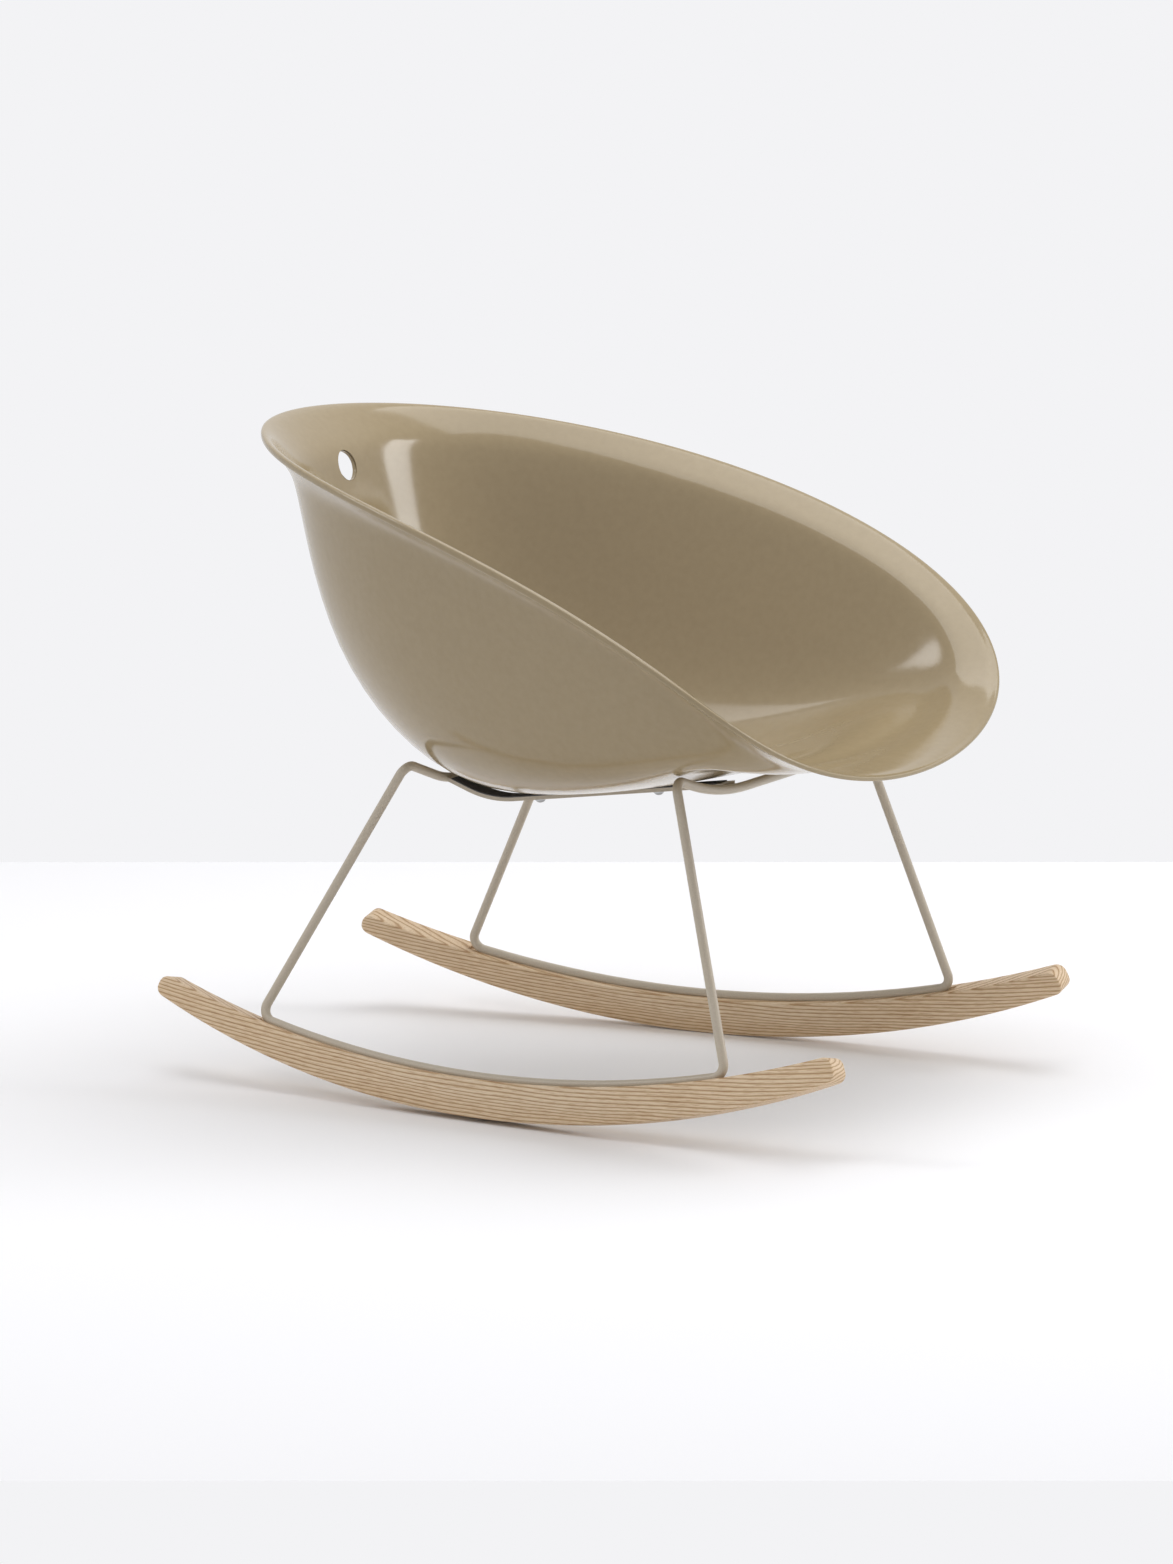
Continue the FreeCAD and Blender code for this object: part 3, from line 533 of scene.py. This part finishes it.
def groove_tube(side):
    overrun = GROOVE_OVERRUN / TOP_RADIUS
    first, last = run_angle(REAR_FOOT) - overrun, run_angle(FRONT_FOOT) + overrun
    angles = np.linspace(first, last, GROOVE_STEPS)
    inward = runner_axes(side)[3]
    turns = 2 * pi * np.arange(GROOVE_SIDES) / GROOVE_SIDES
    radius = ROD_DIAMETER / 2 + GROOVE_GAP
    rings = []
    for angle in angles:
        centre, upward = on_run(side, angle)
        rings.append(centre + radius * (np.outer(np.cos(turns), upward) + np.outer(np.sin(turns), inward)))
    return grid_piece("groove", np.array(rings))


def mark_board(piece, side):
    """Stores where each point lies in the board, in millimetres: along it, across the grain, through it."""
    count = len(piece.data.vertices)
    places = np.zeros(count * 3)
    piece.data.vertices.foreach_get("co", places)
    points = (places.reshape(-1, 3) / MM - REST_SHIFT) @ REST_ROTATION
    base, ahead, upward, inward = runner_axes(side)
    forward, up, through = [(points - base) @ axis for axis in (ahead, upward, inward)]
    bent = ROCKING_RADIUS - np.hypot(forward, ROCKING_RADIUS - up)
    across = GRAIN_BEND * bent + (1 - GRAIN_BEND) * up
    attribute = piece.data.attributes.new("board", "FLOAT_VECTOR", "POINT")
    attribute.data.foreach_set("vector", np.stack([forward, across, through], 1).ravel())


def build_runner(word, side):
    rings = []
    for angle, from_end in board_stations():
        ring = [
            board_point(side, reach * sin(angle), ROCKING_RADIUS - reach * cos(angle), through)
            for reach, through in board_section(angle, from_end)
        ]
        rings.append(ring)
    board = grid_piece("ash_runner_" + word, np.array(rings))
    combine(board, groove_tube(side))
    step = SCREW_SPACING / (TOP_RADIUS + GROOVE_DEPTH - ROD_DIAMETER / 2)
    middle = (run_angle(REAR_FOOT) + run_angle(FRONT_FOOT)) / 2
    for angle in (middle - step, middle, middle + step):
        foot, upward = on_run(side, angle, SCREW_SEAT)
        shank = SCREW_HOLE_DIAMETER / 2
        head = COUNTERBORE_DIAMETER / 2
        profile = [(-RUNNER_HEIGHT, head), (0.0, head), (0.0, shank), (SCREW_SEAT, shank)]
        combine(board, turned_piece("screw_hole", foot, upward, profile, SCREW_HOLE_SIDES))
    crease(board, BOARD_CREASE)
    mark_board(board, side)
    return board


runners = {word: build_runner(word, side) for word, side in (("right", -1), ("left", 1))}


# Colours

def srgb(code):
    """Linear colour of an sRGB hex value."""
    parts = [int(code[i:i + 2], 16) / 255 for i in (0, 2, 4)]
    return tuple(p / 12.92 if p <= 0.04045 else ((p + 0.055) / 1.055) ** 2.4 for p in parts) + (1.0,)


def add_node(material, kind, settings=None, links=None):
    """Adds a node, sets its properties and sockets, and links its inputs."""
    node = material.node_tree.nodes.new(kind)
    for name, value in (settings or {}).items():
        if name in node.inputs:
            node.inputs[name].default_value = value
        else:
            setattr(node, name, value)
    for name, source in (links or {}).items():
        material.node_tree.links.new(source, node.inputs[name])
    return node


def new_material(name):
    material = bpy.data.materials.new(name)
    material.use_nodes = True
    return material, material.node_tree.nodes["Principled BSDF"]


def object_place(material):
    """The point's place on the piece in metres, which is the same in every view."""
    return add_node(material, "ShaderNodeTexCoord").outputs["Object"]


def bump(material, shader, height, depth):
    """Raises the surface by a pattern; the depth is in metres."""
    node = add_node(material, "ShaderNodeBump", {"Distance": depth}, {"Height": height})
    material.node_tree.links.new(node.outputs["Normal"], shader.inputs["Normal"])


def spread(material, value, low, high):
    """Maps a pattern of 0 to 1 to the range from low to high."""
    settings = {"To Min": low, "To Max": high}
    return add_node(material, "ShaderNodeMapRange", settings, {"Value": value}).outputs["Result"]


def shades(material, value, stops):
    """Colour ramp through pairs of place and hex colour."""
    node = add_node(material, "ShaderNodeValToRGB", links={"Fac": value})
    ramp = node.color_ramp
    while len(ramp.elements) < len(stops):
        ramp.elements.new(1.0)
    for element, (place, code) in zip(ramp.elements, stops):
        element.position = place
        element.color = srgb(code)
    return node.outputs["Color"]


def gloss_polypropylene():
    """Moulded polypropylene from a polished tool: an even warm grey with a clear, faintly wavy gloss."""
    material, shader = new_material("moulded_gloss_polypropylene")
    place = object_place(material)
    # Sink marks some 60 mm across, and flow marks some 8 mm across that dull the gloss a little
    sinks = add_node(material, "ShaderNodeTexNoise", {"Scale": 16.0, "Detail": 1.0}, {"Vector": place})
    flow = add_node(material, "ShaderNodeTexNoise", {"Scale": 120.0, "Detail": 3.0}, {"Vector": place})
    colour = shades(material, flow.outputs["Fac"], [(0.3, "9b8a6a"), (0.7, "9f8e6e")])
    rough = spread(material, flow.outputs["Fac"], 0.10, 0.17)
    material.node_tree.links.new(colour, shader.inputs["Base Color"])
    material.node_tree.links.new(rough, shader.inputs["Roughness"])
    shader.inputs["IOR"].default_value = 1.5
    bump(material, shader, sinks.outputs["Fac"], 0.0006)
    return material


def satin_powder_coat():
    """Polyester powder coat on steel rod: satin, with an orange peel some 1.5 mm across."""
    material, shader = new_material("satin_powder_coat")
    place = object_place(material)
    peel = add_node(material, "ShaderNodeTexNoise", {"Scale": 650.0, "Detail": 2.0}, {"Vector": place})
    colour = shades(material, peel.outputs["Fac"], [(0.3, "bbb09e"), (0.7, "c3b8a6")])
    material.node_tree.links.new(colour, shader.inputs["Base Color"])
    rough = spread(material, peel.outputs["Fac"], 0.30, 0.42)
    material.node_tree.links.new(rough, shader.inputs["Roughness"])
    bump(material, shader, peel.outputs["Fac"], 0.00012)
    return material


# Ash, in mm: the growth lines' spacing and how far they wander, and their tilt through the board
RING_SPACING = 4.2
RING_WANDER = 16.0
RING_TILT = 0.45
LAYER_STRENGTH = 0.8


def oiled_ash():
    """Oiled solid ash: pale wood with darker early wood in lines some 4 mm apart."""
    material, shader = new_material("oiled_ash")
    board = add_node(material, "ShaderNodeAttribute", {"attribute_name": "board"}).outputs["Vector"]
    # The board's places are in mm: slow waves along it, and growth lines across it
    slow = add_node(material, "ShaderNodeMapping", {"Scale": (0.0035, 0.03, 0.03)}, {"Vector": board})
    slow_place = {"Vector": slow.outputs[0]}
    drift = add_node(material, "ShaderNodeTexNoise", {"Scale": 1.0, "Detail": 2.0}, slow_place)
    parts = add_node(material, "ShaderNodeSeparateXYZ", links={"Vector": board})
    through = add_node(material, "ShaderNodeMath", {"operation": "MULTIPLY"}, {0: parts.outputs["Z"]})
    through.inputs[1].default_value = RING_TILT
    wander = add_node(material, "ShaderNodeMath", {"operation": "MULTIPLY"}, {0: drift.outputs["Fac"]})
    wander.inputs[1].default_value = RING_WANDER
    tilted = {0: parts.outputs["Y"], 1: through.outputs[0]}
    depth = add_node(material, "ShaderNodeMath", {"operation": "ADD"}, tilted)
    wavy = {0: depth.outputs[0], 1: wander.outputs[0]}
    depth = add_node(material, "ShaderNodeMath", {"operation": "ADD"}, wavy)
    year = add_node(material, "ShaderNodeMath", {"operation": "MULTIPLY"}, {0: depth.outputs[0]})
    year.inputs[1].default_value = 1 / RING_SPACING
    ring = add_node(material, "ShaderNodeMath", {"operation": "FRACT"}, {0: year.outputs[0]}).outputs[0]
    # Vessels: streaks some 0.4 mm wide and 12 mm long
    long_way = add_node(material, "ShaderNodeMapping", {"Scale": (0.08, 2.2, 2.2)}, {"Vector": board})
    long_place = {"Vector": long_way.outputs[0]}
    vessels = add_node(material, "ShaderNodeTexNoise", {"Scale": 1.0, "Detail": 3.0}, long_place)
    wood = shades(material, ring, [
        (0.0, "c4a47c"), (0.14, "b08e66"), (0.36, "dfc9aa"), (0.75, "e8d4b9"), (0.97, "dac3a1"),
    ])
    streak = shades(material, vessels.outputs["Fac"], [(0.34, "d4c0a6"), (0.52, "ffffff")])
    patches = shades(material, drift.outputs["Fac"], [(0.3, "f4ebde"), (0.7, "ffffff")])
    colour = wood
    for layer in (streak, patches):
        mix = add_node(material, "ShaderNodeMix", {"data_type": "RGBA", "blend_type": "MULTIPLY"})
        mix.inputs[0].default_value = LAYER_STRENGTH
        material.node_tree.links.new(colour, mix.inputs[6])
        material.node_tree.links.new(layer, mix.inputs[7])
        colour = mix.outputs[2]
    material.node_tree.links.new(colour, shader.inputs["Base Color"])
    rough = spread(material, vessels.outputs["Fac"], 0.56, 0.42)
    material.node_tree.links.new(rough, shader.inputs["Roughness"])
    bump(material, shader, vessels.outputs["Fac"], 0.00015)
    return material


def black_rubber():
    """Moulded rubber strip: charcoal and dull, with a fine grain."""
    material, shader = new_material("charcoal_rubber")
    place = object_place(material)
    grain = add_node(material, "ShaderNodeTexNoise", {"Scale": 900.0, "Detail": 2.0}, {"Vector": place})
    colour = shades(material, grain.outputs["Fac"], [(0.3, "464648"), (0.7, "545456")])
    material.node_tree.links.new(colour, shader.inputs["Base Color"])
    shader.inputs["Roughness"].default_value = 0.7
    bump(material, shader, grain.outputs["Fac"], 0.0001)
    return material


def plated_metal(name, low, high, roughness):
    """Bare or plated metal: bright, with fine specks that change its gloss."""
    material, shader = new_material(name)
    place = object_place(material)
    marks = add_node(material, "ShaderNodeTexNoise", {"Scale": 1400.0, "Detail": 2.0}, {"Vector": place})
    colour = shades(material, marks.outputs["Fac"], [(0.3, low), (0.7, high)])
    material.node_tree.links.new(colour, shader.inputs["Base Color"])
    rough = spread(material, marks.outputs["Fac"], roughness - 0.06, roughness + 0.06)
    material.node_tree.links.new(rough, shader.inputs["Roughness"])
    shader.inputs["Metallic"].default_value = 1.0
    bump(material, shader, marks.outputs["Fac"], 0.00003)
    return material


def paint(piece, material):
    piece.data.materials.clear()
    piece.data.materials.append(material)


plastic = gloss_polypropylene()
coat = satin_powder_coat()
ash = oiled_ash()
rubber = black_rubber()
zinc = plated_metal("zinc_plated_steel", "b9bbbd", "c8cacb", 0.30)
brass = plated_metal("turned_brass", "c9a25c", "d6b06a", 0.28)

paint(shell, plastic)
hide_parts("tub_shell")
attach(shell, "root")
for word, board in runners.items():
    paint(board, ash)
    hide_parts("runner_" + word)
    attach(board, "root")

FINISH = {
    "frame_rod": coat,
    "seat_rail": coat,
    "rail_pad": rubber,
    "shell_insert": brass,
    "shell_screw": zinc,
    "shell_washer": zinc,
    "runner_screw": zinc,
    "runner_washer": zinc,
}
for name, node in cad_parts.items():
    for start, material in FINISH.items():
        if name.startswith(start):
            paint(node, material)


# Camera

FOCAL_PIXELS = 6797.1
IMAGE_WIDTH = 1173
IMAGE_HEIGHT = 1564
SENSOR = 36.0
CAMERA_PLACE = Vector((-6.1465, -3.5451, 1.5629))
CAMERA_AZIMUTH = -59.913
CAMERA_ELEVATION = 9.954
CAMERA_ROLL = -0.497


def camera_turn():
    azimuth, elevation = radians(CAMERA_AZIMUTH), radians(CAMERA_ELEVATION)
    back = Vector((sin(azimuth) * cos(elevation), -cos(azimuth) * cos(elevation), sin(elevation)))
    return (-back).to_track_quat("-Z", "Y") @ Quaternion((0, 0, 1), radians(CAMERA_ROLL))


def floor_point(across, down):
    """Where the camera's ray through a point of the image meets the floor; the image is 1173 x 1564."""
    ray = Vector((across - IMAGE_WIDTH / 2, IMAGE_HEIGHT / 2 - down, -FOCAL_PIXELS))
    ray.rotate(camera_turn())
    return CAMERA_PLACE - ray * (CAMERA_PLACE.z / ray.z)


def build_camera():
    data = bpy.data.cameras.new("camera")
    data.sensor_width = SENSOR
    data.lens = SENSOR * FOCAL_PIXELS / IMAGE_HEIGHT
    data.clip_end = 100.0
    camera = bpy.data.objects.new("camera", data)
    camera.location = CAMERA_PLACE
    camera.rotation_mode = "QUATERNION"
    camera.rotation_quaternion = camera_turn()
    bpy.context.scene.collection.objects.link(camera)
    bpy.context.scene.camera = camera


build_camera()


# Stage and light

# Where the slab's edges cross the image, and how far it goes on past the image's sides, in pixels
FLOOR_FAR = 862
FLOOR_NEAR = 1481
FLOOR_SIDE = 1500


def pale_floor():
    """Pale slab whose far and near edges cross the image where the real ones do."""
    corners = [
        floor_point(-FLOOR_SIDE, FLOOR_NEAR),
        floor_point(IMAGE_WIDTH + FLOOR_SIDE, FLOOR_NEAR),
        floor_point(IMAGE_WIDTH + FLOOR_SIDE, FLOOR_FAR),
        floor_point(-FLOOR_SIDE, FLOOR_FAR),
    ]
    floor = new_piece("floor", corners, [(0, 1, 2, 3)], smooth=False)
    material, shader = new_material("matt_white_slab")
    shader.inputs["Base Color"].default_value = srgb("fbfbfd")
    shader.inputs["Roughness"].default_value = 0.8
    shader.inputs["Specular IOR Level"].default_value = 0.1
    paint(floor, material)


pale_floor()

WORLD_LIGHT = 0.52


def studio_world():
    """Even light from all round; the camera and reflections see a plain pale background."""
    world = bpy.data.worlds.new("studio")
    bpy.context.scene.world = world
    world.use_nodes = True
    tree = world.node_tree
    path = tree.nodes.new("ShaderNodeLightPath")
    seen = tree.nodes.new("ShaderNodeMath")
    seen.operation = "MAXIMUM"
    tree.links.new(path.outputs["Is Camera Ray"], seen.inputs[0])
    tree.links.new(path.outputs["Is Transmission Ray"], seen.inputs[1])
    shown = tree.nodes.new("ShaderNodeMath")
    shown.operation = "MAXIMUM"
    tree.links.new(seen.outputs[0], shown.inputs[0])
    tree.links.new(path.outputs["Is Glossy Ray"], shown.inputs[1])
    strength = tree.nodes.new("ShaderNodeMapRange")
    strength.inputs["To Min"].default_value = WORLD_LIGHT
    strength.inputs["To Max"].default_value = 1.0
    tree.links.new(shown.outputs[0], strength.inputs["Value"])
    background = tree.nodes["Background"]
    background.inputs["Color"].default_value = srgb("f3f3f5")
    tree.links.new(strength.outputs["Result"], background.inputs["Strength"])


studio_world()


def soft_light(name, place, target, wide, tall, watts):
    data = bpy.data.lights.new(name, "AREA")
    data.shape = "RECTANGLE"
    data.size = wide
    data.size_y = tall
    data.energy = watts
    light = bpy.data.objects.new(name, data)
    light.location = place
    light.rotation_mode = "QUATERNION"
    light.rotation_quaternion = (Vector(target) - Vector(place)).to_track_quat("-Z", "Y")
    bpy.context.scene.collection.objects.link(light)


soft_light("overhead", (0.2, -0.2, 3.6), (0, 0, 0.4), 3.2, 3.2, 74)
soft_light("left_edge", (-1.8, 3.0, 2.6), (0, 0, 0.3), 1.2, 1.2, 24)
soft_light("front_band", (2.4, -3.4, 2.2), (0, 0.2, 0.55), 1.5, 2.2, 62)

bpy.context.scene.view_settings.view_transform = "Standard"
